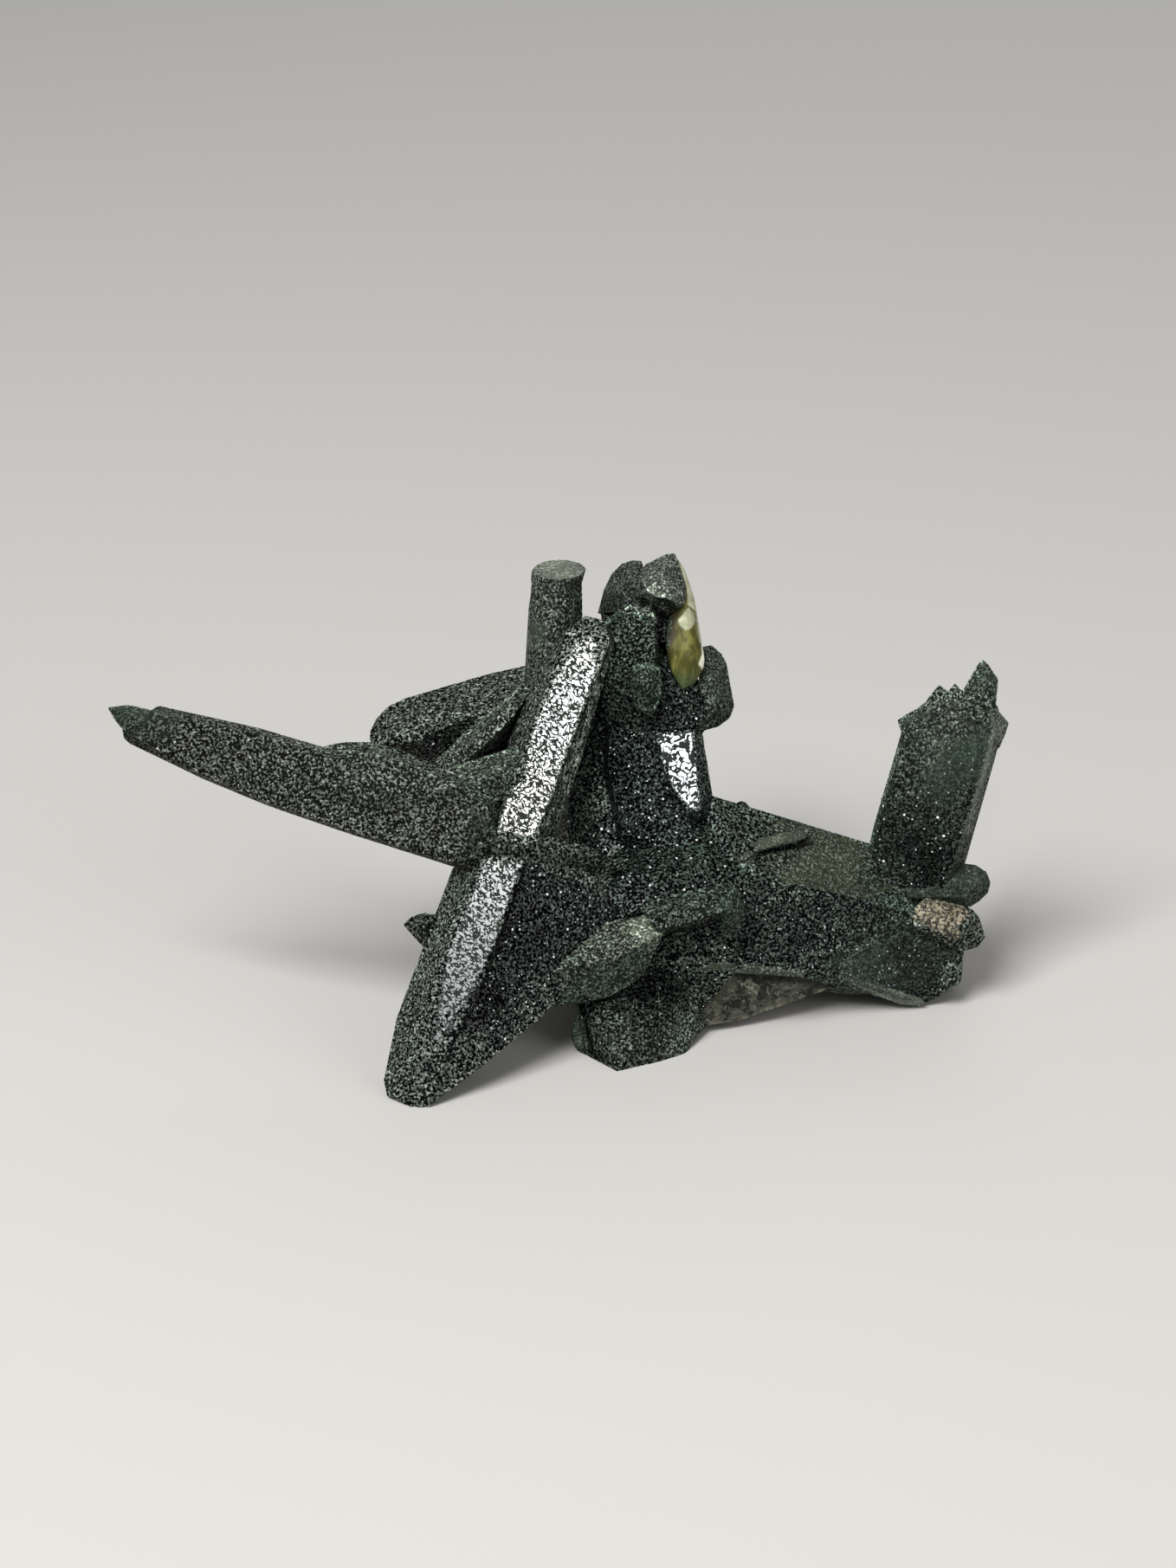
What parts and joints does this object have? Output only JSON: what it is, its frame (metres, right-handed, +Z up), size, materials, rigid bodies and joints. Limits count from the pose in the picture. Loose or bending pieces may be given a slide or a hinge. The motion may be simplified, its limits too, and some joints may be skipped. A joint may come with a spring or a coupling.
{
  "type": "chloritized quartz specimen",
  "caption": "Intergrown cluster of flat and six-sided quartz crystals dusted dark green-grey by chlorite, standing on its own crystal ends.",
  "frame": {"origin": "centre of the bounding box at the plane the specimen rests on", "axes": "+Z up, +X to the viewer's right in the picture along the longest extent, +Y away from the viewer"},
  "size_m": [0.08, 0.0504, 0.0394],
  "materials": {
    "chlorite_crust": "dark green-grey crust of sub-millimetre grains that glint",
    "bare_facet": "glossy quartz facet speckled with chlorite",
    "clear_quartz": "clear glassy broken end, cream to olive",
    "smoky_quartz": "smooth dark glassy quartz with few grains",
    "iron_stain": "matt tan stain on a broken end"
  },
  "bodies": {
    "root": {"crystal_cluster": "chlorite_crust"}
  },
  "joints": []
}
